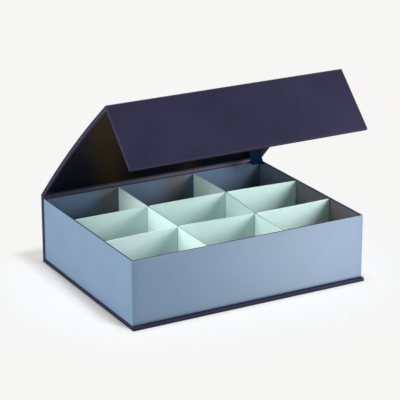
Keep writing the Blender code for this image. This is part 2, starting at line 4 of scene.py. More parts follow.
import bmesh
import bpy
import numpy as np
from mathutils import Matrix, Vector

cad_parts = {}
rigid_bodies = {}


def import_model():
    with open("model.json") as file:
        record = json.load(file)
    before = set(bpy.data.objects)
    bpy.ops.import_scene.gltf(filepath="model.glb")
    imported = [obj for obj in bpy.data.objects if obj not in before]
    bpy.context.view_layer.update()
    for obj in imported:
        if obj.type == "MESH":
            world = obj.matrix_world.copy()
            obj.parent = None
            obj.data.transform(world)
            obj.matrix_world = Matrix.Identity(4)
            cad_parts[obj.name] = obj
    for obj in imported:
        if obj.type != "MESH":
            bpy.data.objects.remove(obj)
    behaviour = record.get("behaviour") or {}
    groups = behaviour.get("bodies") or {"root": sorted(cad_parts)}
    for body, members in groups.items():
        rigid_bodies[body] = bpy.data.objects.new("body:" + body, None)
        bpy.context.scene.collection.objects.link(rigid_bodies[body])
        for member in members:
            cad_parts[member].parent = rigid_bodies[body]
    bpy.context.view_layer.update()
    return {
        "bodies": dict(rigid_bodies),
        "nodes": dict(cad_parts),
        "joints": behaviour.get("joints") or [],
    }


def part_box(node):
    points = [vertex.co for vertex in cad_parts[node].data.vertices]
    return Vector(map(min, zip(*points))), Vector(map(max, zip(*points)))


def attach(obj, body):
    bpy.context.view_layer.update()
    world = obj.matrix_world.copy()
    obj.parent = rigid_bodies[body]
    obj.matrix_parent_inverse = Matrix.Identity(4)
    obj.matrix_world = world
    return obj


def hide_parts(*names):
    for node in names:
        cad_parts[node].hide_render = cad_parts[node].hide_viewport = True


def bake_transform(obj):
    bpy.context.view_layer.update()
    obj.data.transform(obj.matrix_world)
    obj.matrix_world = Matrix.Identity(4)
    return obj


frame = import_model()
print("frame loaded:", len(frame["nodes"]), "solids")

mm = 0.001
scene = bpy.context.scene

# The box as the frame gives it
joints = {joint["name"]: joint for joint in frame["joints"]}
lidFold = np.array(joints["lid_hinge"]["pos_m"], float)
flapFold = np.array(joints["flap_hinge"]["pos_m"], float)
lidAngle = math.radians(-joints["lid_hinge"]["range_deg"][0])
flapAngle = lidAngle - math.radians(joints["flap_hinge"]["range_deg"][0])
lidChord = float(np.linalg.norm(flapFold - lidFold))
trayLow, trayHigh = (np.array(corner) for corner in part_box("tray_outer_paper"))
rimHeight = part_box("tray_inner_paper")[1].z
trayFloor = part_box("tray_floor_paper")[1].z
caseLow, caseHigh = (np.array(corner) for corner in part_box("base_cloth"))
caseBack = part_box("spine_cloth")[1].y
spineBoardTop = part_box("spine_board")[1].z
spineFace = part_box("spine_lining")[0].y
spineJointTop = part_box("spine_lining")[1].z
halfCase = caseHigh[0]
halfTray = trayHigh[0]
caseStack = caseHigh[2] - caseLow[2]

# The case: cloth glued round boards, with a small gap in place of the glue. Its inner layers stand a little
# proud of each other, so that none shows through another.
case = {
    "cloth": 0.4 * mm,
    "board": 3.0 * mm,
    "seat": 0.3 * mm,
    "edgeRadius": 0.85 * mm,
    "turnIn": 3.0 * mm,
    "lidBow": 4.5 * mm,
    "layerProud": 0.14 * mm,
    "outerWear": 0.1,  # share of an inner edge's wear that the outer edge has
    "turnedWear": 0.9,  # how dark the painted shade on the turned-in strip is
}
thick, seat, turnIn = case["cloth"], case["seat"], case["turnIn"]

# The longest steps of the grids
longest = {"face": 12 * mm, "corner": 9 * mm, "tray": 8 * mm, "joint": 2 * mm, "fold": 1.5 * mm}

# Directions at rest: across the box, along the lid, flap and spine, and out of the lid and flap
xAxis = np.array((1.0, 0.0, 0.0))
lidAlong = np.array((0.0, -math.cos(lidAngle), math.sin(lidAngle)))
lidUp = np.array((0.0, math.sin(lidAngle), math.cos(lidAngle)))
flapDown = np.array((0.0, -math.sin(flapAngle), -math.cos(flapAngle)))
flapOut = np.array((0.0, -math.cos(flapAngle), math.sin(flapAngle)))


def linear(code):
    # sRGB hex to linear: ((c + 0.055) / 1.055) ^ 2.4, or c / 12.92 near black
    parts = [int(code[i:i + 2], 16) / 255 for i in (1, 3, 5)]
    return tuple(c / 12.92 if c <= 0.04045 else ((c + 0.055) / 1.055) ** 2.4 for c in parts) + (1.0,)


def addNode(tree, kind, inputs=None, out=0, stops=(), **settings):
    # Adds one node with its settings, links the inputs that are sockets, and gives back its first output or
    # the one that out names. Colours are hex, and stops are a ramp's (position, colour) pairs.
    node = tree.nodes.new("ShaderNode" + kind)
    for name, value in settings.items():
        setattr(node, name, value)
    for name, value in (inputs or {}).items():
        if isinstance(value, bpy.types.NodeSocket):
            tree.links.new(value, node.inputs[name])
        else:
            node.inputs[name].default_value = linear(value) if isinstance(value, str) else value
    if stops:
        ramp = node.color_ramp
        stops = [(position, linear(colour)) for position, colour in stops]
        ramp.elements[0].position, ramp.elements[0].color = stops[0]
        ramp.elements[1].position, ramp.elements[1].color = stops[-1]
        for position, colour in stops[1:-1]:
            ramp.elements.new(position).color = colour
    return node.outputs[out]


def nearness(tree, value, middle, reach, share=1.0):
    # a share at a middle value, which falls smoothly to 0 at a reach to both sides of it
    away = addNode(tree, "Math", {0: value, 1: middle}, operation="SUBTRACT")
    away = addNode(tree, "Math", {0: away}, operation="ABSOLUTE")
    limits = {"Value": away, "From Min": reach, "From Max": 0.0, "To Max": share}
    return addNode(tree, "MapRange", limits, interpolation_type="SMOOTHSTEP")


def startMaterial(name, **constants):
    # a new material, whose constant values sit on the shader's own sockets
    made = bpy.data.materials.new(name)
    made.use_nodes = True
    shader = made.node_tree.nodes["Principled BSDF"]
    for key, value in constants.items():
        shader.inputs[key.replace("_", " ")].default_value = value
    return made, made.node_tree


def finishMaterial(made, colour, grain, height, look):
    # links the colour, a roughness that runs from low to high with the grain, and a relief with its
    # strength and depth
    tree = made.node_tree
    (low, high), (strength, depth) = look["roughness"], look["relief"]
    rough = addNode(tree, "MapRange", {"Value": grain, "To Min": low, "To Max": high})
    relief = addNode(tree, "Bump", {"Height": height, "Strength": strength, "Distance": depth})
    for name, socket in (("Base Color", colour), ("Roughness", rough), ("Normal", relief)):
        tree.links.new(socket, tree.nodes["Principled BSDF"].inputs[name])
    return made


def pointsOf(*coordinates):
    # one array for each coordinate, spread over their common grid and put together as points
    return np.stack(np.broadcast_arrays(*coordinates), -1)


def times(lengths, direction):
    # each length of an array times a direction
    return np.multiply.outer(lengths, direction)


def unit(vectors):
    # each vector over its own length
    return vectors / np.linalg.norm(vectors, axis=-1, keepdims=True)


def looped(out, back):
    # out over one side and back over the other, to where it started
    return np.concatenate([out, back[::-1], out[:1]])


def roundedOutline(corners, steps=5):
    # each (x, y, radius) corner of a closed outline becomes an arc of its radius, tangent to both sides
    rows = np.array(corners, float)
    corner, radius = rows[:, :2], rows[:, 2]
    before = unit(np.roll(corner, 1, 0) - corner)
    after = unit(np.roll(corner, -1, 0) - corner)
    half = np.arccos(np.clip((before * after).sum(1), -1, 1)) / 2
    middle = before + after
    middle /= np.maximum(np.linalg.norm(middle, axis=1), 1e-9)[:, None]
    centre = corner + middle * (radius / np.sin(half))[:, None]
    first = corner + before * (radius / np.tan(half))[:, None] - centre
    last = corner + after * (radius / np.tan(half))[:, None] - centre
    turn = np.maximum(np.pi - 2 * half, 1e-6)[:, None, None]
    t = np.linspace(0, 1, steps)[None, :, None]
    arc = (np.sin((1 - t) * turn) * first[:, None] + np.sin(t * turn) * last[:, None]) / np.sin(turn)
    points = (centre[:, None] + arc).reshape(-1, 2)
    apart = np.linalg.norm(points - np.roll(points, 1, 0), axis=1) > 1e-7
    return points[apart]


def lengthAlong(points):
    # running length of a line of points, from 0
    return np.concatenate([[0.0], np.cumsum(np.linalg.norm(np.diff(points, axis=0), axis=1))])


def refined(points, step):
    # the same line with more points, so that none is further than a step from the next
    run = lengthAlong(points)
    stations = np.unique(np.round(np.concatenate([run, np.arange(0, run[-1], step)]), 6))
    stations = stations[np.concatenate([[True], np.diff(stations) > 0.02 * mm])]
    return np.stack([np.interp(stations, run, points[:, i]) for i in range(points.shape[1])], 1)


def closedSection(corners, step):
    # a rounded outline that ends on the point where it starts
    outline = roundedOutline(corners)
    return refined(np.vstack([outline, outline[:1]]), step)


def startAt(outline, place):
    # the same closed outline, from its point nearest to a place
    return np.roll(outline, -int(np.argmin(np.linalg.norm(outline - np.array(place), axis=1))), 0)


def smoothLine(points, steps):
    # a cubic through the points: (2b + (c-a)t + (2a-5b+4c-d)t^2 + (3b-a-3c+d)t^3) / 2
    p = np.array(points, float)
    p = np.vstack([2 * p[0] - p[1], p, 2 * p[-1] - p[-2]])
    a, b, c, d = (p[i:len(p) - 3 + i, None] for i in range(4))
    t = (np.arange(steps) / steps)[None, :, None]
    run = (2 * b + (c - a) * t + (2 * a - 5 * b + 4 * c - d) * t**2 + (3 * b - a - 3 * c + d) * t**3) / 2
    return np.vstack([run.reshape(-1, p.shape[1]), p[-2]])


def bendOf(points):
    # how sharply a line turns at each point: its turn over the length beside it, 1 at the cloth's folded
    # edge
    step = np.diff(np.vstack([points[:1], points, points[-1:]]), axis=0)
    size = np.maximum(np.linalg.norm(step, axis=1), 1e-9)
    heading = step / size[:, None]
    cosine = np.clip((heading[1:] * heading[:-1]).sum(1), -1, 1)
    bend = np.arccos(cosine) / np.maximum((size[1:] + size[:-1]) / 2, 0.1 * mm)
    bend[[0, -1]] = 0
    return np.clip(bend * case["edgeRadius"], 0, 1)


def wearOf(outline, sides, look):
    # worn where the outline bends, mostly at the inner edge, and as a minus painted shade on the straight
    # sides and on the strip that is turned in
    bend = bendOf(outline)
    share = np.where(outline[:, 1] > caseStack / 2, 1.0, case["outerWear"])
    turned = (outline[:, 1] > caseStack - 1e-6) & ~sides & (bend < 0.05)
    wear = np.where(sides, -look["pressed"], bend * look["rubbed"] * share)
    return np.where(turned, -case["turnedWear"], wear)


def intoScene(name, data):
    # links a new object into the scene
    made = bpy.data.objects.new(name, data)
    scene.collection.objects.link(made)
    return made


def tidied(name, mesh, material, merge=0.0, sharpDegrees=38):
    # drops loose points, joins doubles, turns the faces outwards and sets smooth shading with crisp edges
    work = bmesh.new()
    work.from_mesh(mesh)
    loose = [corner for corner in work.verts if not corner.link_faces]
    bmesh.ops.delete(work, geom=loose, context="VERTS")
    if merge:
        bmesh.ops.remove_doubles(work, verts=work.verts, dist=merge)
        bmesh.ops.dissolve_degenerate(work, edges=work.edges, dist=merge)
    bmesh.ops.recalc_face_normals(work, faces=work.faces)
    if work.calc_volume(signed=True) < 0:
        bmesh.ops.reverse_faces(work, faces=work.faces)
    work.to_mesh(mesh)
    work.free()
    mesh.shade_smooth()
    mesh.set_sharp_from_angle(angle=math.radians(sharpDegrees))
    mesh.materials.append(material)
    return intoScene(name, mesh)


def skin(name, points, uv, material, closeRows=False, closeColumns=False, wear=0.0, merge=0.0):
    # A grid of points (rows, columns, 3) becomes a closed mesh with its UV map in metres. A closed
    # direction repeats its first line as its last. Rows that don't close get one flat face at each end.
    rows, columns = points.shape[:2]
    plain = np.arange(rows * columns).reshape(rows, columns)
    index = plain.copy()
    if closeRows:
        index[-1] = index[0]
    if closeColumns:
        index[:, -1] = index[:, 0]
    joined, source = (
        np.stack([grid[:-1, :-1], grid[1:, :-1], grid[1:, 1:], grid[:-1, 1:]], -1).reshape(-1, 4)
        for grid in (index, plain)
    )
    faces = joined.tolist()
    flat = source.ravel()
    if not closeRows:
        last = columns - 1 if closeColumns else columns
        faces += [index[0, :last].tolist(), index[-1, :last][::-1].tolist()]
        flat = np.concatenate([flat, plain[0, :last], plain[-1, :last][::-1]])
    mesh = bpy.data.meshes.new(name)
    mesh.from_pydata(points.reshape(-1, 3), [], faces)
    layer = mesh.uv_layers.new(name="sheet")
    layer.data.foreach_set("uv", uv.reshape(-1, 2)[flat].astype(np.float32).ravel())
    worn = mesh.attributes.new("wear", "FLOAT", "POINT")
    worn.data.foreach_set("value", np.broadcast_to(wear, (rows, columns)).astype(np.float32).ravel())
    return tidied(name, mesh, material, merge)


def dress(made, body, slot, *nodes):
    # a piece moves with its body and stands for its CAD nodes; its slot is not used
    for node in nodes:
        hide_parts(node)
    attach(made, body)


def course(insets, halfWidth, near, far, radius, closed):
    # Carries insets round a rounded rectangle: down the left side, across the near side and up the right
    # side, and when closed across the far side too. A place is the inset rectangle's corner or side, plus
    # what is left of the corner radius along the outward direction.
    def side(count, *columns):
        return np.stack([np.ones(count) * column for column in columns], 1)

    def arc(fx, fy, start):
        angle = start + np.linspace(0, math.pi / 2, 5)
        return side(5, fx, fy, np.cos(angle), np.sin(angle))

    down = np.linspace(1, 0, max(3, round((far - near) / longest["corner"])))
    over = np.linspace(-1, 1, max(3, round(2 * halfWidth / longest["corner"])))
    parts = [
        side(len(down), -1, down, -1, 0),
        arc(-1, 0, math.pi),
        side(len(over), over, 0, 0, -1),
        arc(1, 0, 1.5 * math.pi),
        side(len(down), 1, down[::-1], 1, 0),
    ]
    if closed:
        parts += [arc(1, 1, 0), side(len(over), over[::-1], 1, 0, 1), arc(-1, 1, math.pi / 2)]
        parts.append(parts[0][:1])
    station = np.vstack(parts)
    fx, fy, cx, cy = (station[:, i, None] for i in range(4))
    inset = np.broadcast_to(insets, (len(station), len(insets)))
    core = np.maximum(inset, radius)
    left = np.maximum(radius - inset, 0)
    low = near + core
    high = far - core if closed else np.full_like(core, far)
    return pointsOf(fx * (halfWidth - core) + cx * left, low + fy * np.maximum(high - low, 0) + cy * left)


# Paper-backed book cloth: a dull aubergine weave, with slubs along the box, paler threads where it folds,
# and darker with painted shade on the boards' edges and on the turned-in strips
clothLook = {
    "deep": "#1a162e",
    "body": "#201d37",
    "slub": "#292443",
    "worn": "#7d727f",
    # the painted shade's colour, for the boards' sides and the turned-in strips
    "pressed": "#0e1129",
    "sheen": "#8f8cd0",
    "threadSpacing": 0.8 * mm,  # the real 0.35 mm is too fine for the picture
    "slubLength": 34 * mm,
    "slubWidth": 0.9 * mm,
    "patchSize": 90 * mm,
    "warpShare": 0.35,
    "weaveHeight": 0.18,
    "threadWear": (0.45, 0.95),
    "roughness": (0.62, 0.86),
    "relief": (0.5, 0.25 * mm),
}


def bookCloth():
    look = clothLook
    made, tree = startMaterial(
        "wovenBookCloth",
        Sheen_Weight=0.06,
        Sheen_Roughness=0.5,
        Sheen_Tint=linear(look["sheen"]),
        Specular_IOR_Level=0.2,
    )
    uv = addNode(tree, "UVMap", uv_map="sheet")
    wear = addNode(tree, "Attribute", out="Fac", attribute_name="wear")
    fine, coarse = 1 / look["slubWidth"], 1 / look["slubLength"]
    long = addNode(tree, "Mapping", {"Vector": uv, "Scale": (coarse, fine, 1)})
    slub = addNode(tree, "TexNoise", {"Vector": long, "Scale": 1.0, "Detail": 3.0, "Roughness": 0.6})
    cross = addNode(tree, "Mapping", {"Vector": uv, "Scale": (fine, coarse, 1)})
    warp = addNode(tree, "TexNoise", {"Vector": cross, "Scale": 1.0, "Detail": 2.0, "Roughness": 0.5})
    patch = addNode(tree, "TexNoise", {"Vector": uv, "Scale": 1 / look["patchSize"], "Detail": 2.0})
    turns = 2 * math.pi / look["threadSpacing"]
    waves = []
    for axis in ("X", "Y"):
        place = addNode(tree, "SeparateXYZ", {"Vector": uv}, out=axis)
        phase = addNode(tree, "Math", {0: place, 1: turns}, operation="MULTIPLY")
        waves.append(addNode(tree, "Math", {0: phase}, operation="SINE"))
    weave = addNode(tree, "Math", {0: waves[0], 1: waves[1]}, operation="MULTIPLY")
    threads = addNode(tree, "Mix", {0: look["warpShare"], 2: slub, 3: warp}, data_type="FLOAT")
    shade = addNode(tree, "Math", {0: threads, 1: patch}, operation="ADD")
    shade = addNode(tree, "Math", {0: shade, 1: 0.5}, operation="MULTIPLY")
    stops = [(0.34, look["deep"]), (0.5, look["body"]), (0.66, look["slub"])]
    tone = addNode(tree, "ValToRGB", {"Fac": shade}, stops=stops)
    low, high = look["threadWear"]
    thread = addNode(tree, "MapRange", {"Value": slub, "To Min": low, "To Max": high})
    rubbed = addNode(tree, "Math", {0: wear, 1: thread}, operation="MULTIPLY", use_clamp=True)
    faded = addNode(tree, "Mix", {0: rubbed, 6: tone, 7: look["worn"]}, out=2, data_type="RGBA")
    # painted shade where the wear is below 0: on the boards' sides and the turned-in strips
    shadedShare = addNode(tree, "Math", {0: wear, 1: -1.0}, operation="MULTIPLY", use_clamp=True)
    colour = addNode(tree, "Mix", {0: shadedShare, 6: faded, 7: look["pressed"]}, out=2, data_type="RGBA")
    height = addNode(tree, "Math", {0: weave, 1: look["weaveHeight"], 2: threads}, operation="MULTIPLY_ADD")
    return finishMaterial(made, colour, threads, height, look)


# Uncoated papers, dyed through: fibres, a soft mottle and another tone where they are creased. The slate
# one lines the walls, and has painted warm shade at three places round them, each (place, reach, share),
# and painted shade, darker and browner, towards their foot. The values after the papers are shared.
paperLook = {
    "wrap": {
        "low": "#556f8a",
        "high": "#597591",
        "crease": "#7f8f9d",
        "roughness": (0.4, 0.52),
        "gloss": 0.7,
        "sheen": 0.06,
    },
    "slate": {
        "low": "#576d89",
        "high": "#627995",
        # painted warm shade at three places, and painted shade towards the walls' foot
        "warm": "#655c50",
        "warmPlaces": (
            (660 * mm, 210 * mm, 0.85),
            (958 * mm, 34 * mm, 0.7),
            (1062 * mm, 30 * mm, 0.7),
        ),
        "footTone": "#4e4a40",
        "footFrom": 4 * mm,
        "footTo": 48 * mm,
        "footShare": 0.55,
    },
    "floor": {"low": "#586878", "high": "#637383"},
    "rim": {
        "low": "#102740",
        "high": "#17324e",
        "crease": "#1f3b58",
        "roughness": (0.55, 0.72),
        "gloss": 0.3,
    },
    "crease": "#2f3f4b",
    "roughness": (0.5, 0.66),
    "gloss": 0.35,
    "sheen": 0.04,
    "fibre": 0.7 * mm,
    "fibreStretch": 0.35,
    "mottle": 42 * mm,
    "mottleShare": 0.6,
    "creaseShare": 0.7,
    "relief": (0.35, 0.12 * mm),
}


def dyedPaper(kind):
    look = {**paperLook, **paperLook[kind]}
    name = f"dyed{kind.title()}Paper"
    made, tree = startMaterial(name, Specular_IOR_Level=look["gloss"], Sheen_Weight=look["sheen"])
    uv = addNode(tree, "UVMap", uv_map="sheet")
    wear = addNode(tree, "Attribute", out="Fac", attribute_name="wear")
    stretched = addNode(tree, "Mapping", {"Vector": uv, "Scale": (look["fibreStretch"], 1, 1)})
    noise = {"Vector": stretched, "Scale": 1 / look["fibre"], "Detail": 4.0, "Roughness": 0.65}
    fibre = addNode(tree, "TexNoise", noise)
    mottle = addNode(tree, "TexNoise", {"Vector": uv, "Scale": 1 / look["mottle"], "Detail": 3.0})
    both = addNode(tree, "Mix", {0: look["mottleShare"], 2: fibre, 3: mottle}, data_type="FLOAT")
    tone = addNode(tree, "ValToRGB", {"Fac": both}, stops=[(0.36, look["low"]), (0.64, look["high"])])
    # painted warm shade at each of the slate's places
    for place, reach, share in look.get("warmPlaces", ()):
        across = addNode(tree, "SeparateXYZ", {"Vector": uv}, out="X")
        paintedWarmShade = nearness(tree, across, place, reach, share)
        tone = addNode(tree, "Mix", {0: paintedWarmShade, 6: tone, 7: look["warm"]}, out=2, data_type="RGBA")
    # painted shade, darker and browner towards the walls' foot
    if "footTone" in look:
        down = addNode(tree, "SeparateXYZ", {"Vector": uv}, out="Y")
        limits = {"Value": down, "From Min": look["footFrom"], "From Max": look["footTo"]}
        limits["To Max"] = look["footShare"]
        foot = addNode(tree, "MapRange", limits, interpolation_type="SMOOTHSTEP")
        tone = addNode(tree, "Mix", {0: foot, 6: tone, 7: look["footTone"]}, out=2, data_type="RGBA")
    creased = addNode(tree, "Math", {0: wear, 1: look["creaseShare"]}, operation="MULTIPLY")
    colour = addNode(tree, "Mix", {0: creased, 6: tone, 7: look["crease"]}, out=2, data_type="RGBA")
    return finishMaterial(made, colour, fibre, fibre, look)


# Lining paper: near black, with a painted reflection: a broad slanting brown zone near its left side, and
# a small brown spot of the same by the fold
liningLook = {
    "cold": "#040717",
    # the painted reflection's brown
    "warm": "#2f2207",
    "crease": "#2c2936",
    "bandSlant": 24.5,
    "bandMiddle": -52 * mm,
    "bandReach": 38 * mm,
    "wander": 30 * mm,
    "spotMiddle": 44 * mm,
    "spotReach": 22 * mm,
    "spotUp": 55 * mm,
    "patchSize": 70 * mm,
    "fibre": 0.7 * mm,
    "roughness": (0.6, 0.8),
    "relief": (0.3, 0.1 * mm),
}


def liningWithPaintedReflection():
    look = liningLook
    made, tree = startMaterial("unevenLiningPaper", Specular_IOR_Level=0.12)
    uv = addNode(tree, "UVMap", uv_map="sheet")
    wear = addNode(tree, "Attribute", out="Fac", attribute_name="wear")
    turned = addNode(tree, "Mapping", {"Vector": uv, "Rotation": (0, 0, -math.radians(look["bandSlant"]))})
    across = addNode(tree, "SeparateXYZ", {"Vector": turned}, out="X")
    patch = addNode(tree, "TexNoise", {"Vector": uv, "Scale": 1 / look["patchSize"], "Detail": 3.0})
    moved = addNode(tree, "Math", {0: patch, 1: look["wander"], 2: across}, operation="MULTIPLY_ADD")
    # the painted reflection: a broad slanting zone, and a spot near the fold
    reflectionZone = nearness(tree, moved, look["bandMiddle"] + look["wander"] / 2, look["bandReach"])
    along = addNode(tree, "SeparateXYZ", {"Vector": uv}, out="Y")
    low = nearness(tree, along, 0.0, look["spotUp"])
    reflectionSpot = nearness(tree, moved, look["spotMiddle"] + look["wander"] / 2, look["spotReach"])
    reflectionSpot = addNode(tree, "Math", {0: reflectionSpot, 1: low}, operation="MULTIPLY")
    paintedReflection = addNode(tree, "Math", {0: reflectionZone, 1: reflectionSpot}, operation="ADD")
    fibre = addNode(tree, "TexNoise", {"Vector": uv, "Scale": 1 / look["fibre"], "Detail": 4.0})
    tone = addNode(tree, "ValToRGB", {"Fac": paintedReflection}, stops=[(0.0, look["cold"]), (1.0, look["warm"])])
    colour = addNode(tree, "Mix", {0: wear, 6: tone, 7: look["crease"]}, out=2, data_type="RGBA")
    return finishMaterial(made, colour, fibre, fibre, look)


# Dyed card, die-cut: smooth, fibrous faces. Its tops have a painted highlight on the long strips and painted
# shade on the cross strips, and the cross strips' card is slightly darker, as painted shade
cardLook = {
    # the long strips' card with a painted highlight on top; the cross strips' a little darker as painted
    # shade, with painted shade on top
    "along": {"low": "#d1eee9", "high": "#dbf5f1", "cut": "#e8f8f5"},
    "across": {"low": "#cfebe6", "high": "#d9f2ed", "cut": "#8fa9a3"},
    "fibre": 1.1 * mm,
    "mottle": 55 * mm,
    "mottleShare": 0.65,
    "cutFacing": (0.6, 0.95),
    "roughness": (0.5, 0.66),
    "relief": (0.25, 0.1 * mm),
}


def dyedCard(grain):
    look = {**cardLook, **cardLook[grain]}
    made, tree = startMaterial(f"cardWithPaintedTop{grain.title()}", Specular_IOR_Level=0.3)
    place = addNode(tree, "TexCoord", out="Object")
    fibre = addNode(tree, "TexNoise", {"Vector": place, "Scale": 1 / look["fibre"], "Detail": 4.0})
    mottle = addNode(tree, "TexNoise", {"Vector": place, "Scale": 1 / look["mottle"], "Detail": 3.0})
    both = addNode(tree, "Mix", {0: look["mottleShare"], 2: fibre, 3: mottle}, data_type="FLOAT")
    tone = addNode(tree, "ValToRGB", {"Fac": both}, stops=[(0.36, look["low"]), (0.64, look["high"])])
    # what faces up gets the painted top tone: highlight on the long strips, shade on the cross strips
    normal = addNode(tree, "NewGeometry", out="Normal")
    facing = addNode(tree, "SeparateXYZ", {"Vector": normal}, out="Z")
    low, high = look["cutFacing"]
    top = addNode(tree, "MapRange", {"Value": facing, "From Min": low, "From Max": high})
    colour = addNode(tree, "Mix", {0: top, 6: tone, 7: look["cut"]}, out=2, data_type="RGBA")
    return finishMaterial(made, colour, fibre, fibre, look)


# Double-faced polyester satin: lengthwise floats with a gloss, and darker along each side
satinLook = {
    "low": "#010d1f",
    "high": "#031b40",
    "selvedge": "#01030a",
    "thread": 0.35 * mm,
    "float": 9 * mm,
    "width": 17.0 * mm,
    "selvedgeWidth": 1.1 * mm,
    "roughness": (0.45, 0.6),
    "relief": (0.3, 0.08 * mm),
}


def satin():
    look = satinLook
    made, tree = startMaterial("wovenSatinRibbon", Specular_IOR_Level=0.01, Anisotropic=0.4)
    uv = addNode(tree, "UVMap", uv_map="sheet")
    across = addNode(tree, "SeparateXYZ", {"Vector": uv}, out="X")
    long = addNode(tree, "Mapping", {"Vector": uv, "Scale": (1 / look["thread"], 1 / look["float"], 1)})
    floats = addNode(tree, "TexNoise", {"Vector": long, "Scale": 1.0, "Detail": 2.0})
    tone = addNode(tree, "ValToRGB", {"Fac": floats}, stops=[(0.2, look["low"]), (0.8, look["high"])])
    away = addNode(tree, "Math", {0: across}, operation="ABSOLUTE")
    half, firm = look["width"] / 2, look["selvedgeWidth"]
    edge = addNode(tree, "MapRange", {"Value": away, "From Min": half - firm, "From Max": half - firm / 2})
    colour = addNode(tree, "Mix", {0: edge, 6: tone, 7: look["selvedge"]}, out=2, data_type="RGBA")
    return finishMaterial(made, colour, edge, floats, look)


# Greyboard: pressed waste paper, with flecks. Rolled steel and nickel plate: fine lines from rolling and
# polishing
plainLook = {
    "greyboard": {
        "low": "#7f786c", "high": "#a09a8d", "grain": 1.6 * mm, "roughness": (0.8, 0.95), "metal": 0.0,
    },
    "nickel": {"low": "#b4b7bb", "high": "#c6c8cb", "grain": 0.3 * mm, "roughness": (0.18, 0.32)},
    "steel": {"low": "#8f9193", "high": "#a4a6a8", "grain": 0.4 * mm, "roughness": (0.3, 0.45)},
    "metal": 1.0,
    "relief": (0.2, 0.05 * mm),
}


def plainStock(name, kind):
    look = {**plainLook, **plainLook[kind]}
    made, tree = startMaterial(name, Metallic=look["metal"])
    place = addNode(tree, "TexCoord", out="Object")
    noise = {"Vector": place, "Scale": 1 / look["grain"], "Detail": 5.0, "Roughness": 0.7}
    grain = addNode(tree, "TexNoise", noise)
    tone = addNode(tree, "ValToRGB", {"Fac": grain}, stops=[(0.35, look["low"]), (0.65, look["high"])])
    return finishMaterial(made, tone, grain, grain, look)


cloth = bookCloth()
wrapPaper, slatePaper, floorPaper, rimPaper = map(dyedPaper, ("wrap", "slate", "floor", "rim"))
liningPaper = liningWithPaintedReflection()
longCard, crossCard = map(dyedCard, ("along", "across"))
ribbonSatin = satin()
greyboard = plainStock("pressedGreyboard", "greyboard")
nickel = plainStock("nickelPlate", "nickel")
rolledSteel = plainStock("rolledSteel", "steel")
print("materials made")

# CAD nodes that stay get the look of their kind, and those that new pieces stand for get cloth
nodeLooks = {"board": greyboard, "wall": greyboard, "magnet": nickel, "keeper": rolledSteel}
for name, node in frame["nodes"].items():
    node.data.materials.clear()
    node.data.materials.append(next((look for word, look in nodeLooks.items() if word in name), cloth))

# Covers: how far each is turned in, how pale its edges are rubbed and how dark the painted shade on its
# sides is. A split is how far from the fold a cover ends.
covers = {
    "base": {"turnIn": 15 * mm, "rubbed": 0.1, "pressed": 0.55},
    "flap": {"turnIn": turnIn, "rubbed": 0.75, "pressed": 0.85, "split": 1.7 * mm, "aboveBase": 0.4 * mm},
    "spine": {"turnIn": turnIn, "rubbed": 0.2, "pressed": 0.6},
    "lid": {"turnIn": turnIn, "rubbed": 0.3, "pressed": 0.6, "split": 4.7 * mm},
}
flapReach = lidFold[2] - (thick * 2 + case["board"] + seat * 2 + covers["flap"]["aboveBase"])
flapSplit = covers["flap"]["split"]
lidSplit = covers["lid"]["split"]


def lidBowAt(distance):
    # height of the lid's bow at a distance from its fold: a parabola, 0 at both folds
    return case["lidBow"] * (1 - (2 * distance / lidChord - 1) ** 2)


# Places on the boards, given as across the box, along the board and below its outer face
def onLid(across, fromFold, depth):
    # each length times its direction, raised by the bow
    up = thick / 2 - depth + lidBowAt(fromFold)
    return lidFold + times(across, xAxis) + times(fromFold, lidAlong) + times(up, lidUp)


def onLidEnd(across, fromEnd, depth):
    # the same, from the flap's fold
    return onLid(across, lidChord - fromEnd, depth)


def onFlap(across, fromFold, depth):
    # each length times its direction
    out = thick / 2 - depth
    return flapFold + times(across, xAxis) + times(fromFold, flapDown) + times(out, flapOut)


def onFlapEdge(across, fromEdge, depth):
    # the same, from the free edge
    return onFlap(across, flapReach - fromEdge, depth)


def onBase(across, fromEdge, depth):
    # from the front edge, with the outer face down
    return pointsOf(across, caseLow[1] + fromEdge, depth)


def onSpine(across, height, depth):
    # upright, and drawn in by a quarter circle at the foot, as the cloth turns under the base
    radius = case["edgeRadius"]
    low = np.clip(1 - height / radius, 0, 1)
    drawn = radius * (1 - np.sqrt(1 - low**2))
    return pointsOf(across, caseBack - (drawn + depth * (1 - drawn / caseStack)), height)


# Cloth drawn round three edges of a board: base and flap
def drawnRound(name, place, far, look):
    # The profile runs over the outer face, round the edge, up the side, round again and in along the turned
    # strip, then back inside it one cloth away. It is carried round the board's three wrapped edges.
    radius = case["edgeRadius"]
    small = radius - thick
    reach = min(halfCase, far)
    whole = halfCase <= far
    tip = thick + look["turnIn"]
    corners = [
        (reach, 0, 0),
        (0, 0, radius),
        (0, caseStack, radius),
        (tip, caseStack, 0),
        (tip, caseStack - thick, 0),
        (thick, caseStack - thick, small),
        (thick, thick, small),
        (reach, thick, 0),
    ]
    outline = startAt(roundedOutline(corners), (reach, 0))
    run = lengthAlong(outline)
    edge = int(np.argmax(outline[:, 0] <= 0))
    developed = run - run[edge]
    face = refined(outline[:2], longest["face"])
    outline = np.vstack([face, outline[2:]])
    developed = np.concatenate([-face[:, 0], developed[2:]])
    if not whole:
        outline = np.vstack([outline, outline[:1]])
        developed = np.append(developed, developed[-1] + thick)
    board = (halfCase, 0.0, far, radius, False)
    flat = course(outline[:, 0], *board)
    points = place(flat[..., 0], flat[..., 1], outline[:, 1])
    uv = course(-developed, *board)
    wear = wearOf(outline, outline[:, 0] < 1e-6, look)
    return skin(name, points, uv, cloth, closeColumns=not whole, wear=wear, merge=1e-6)


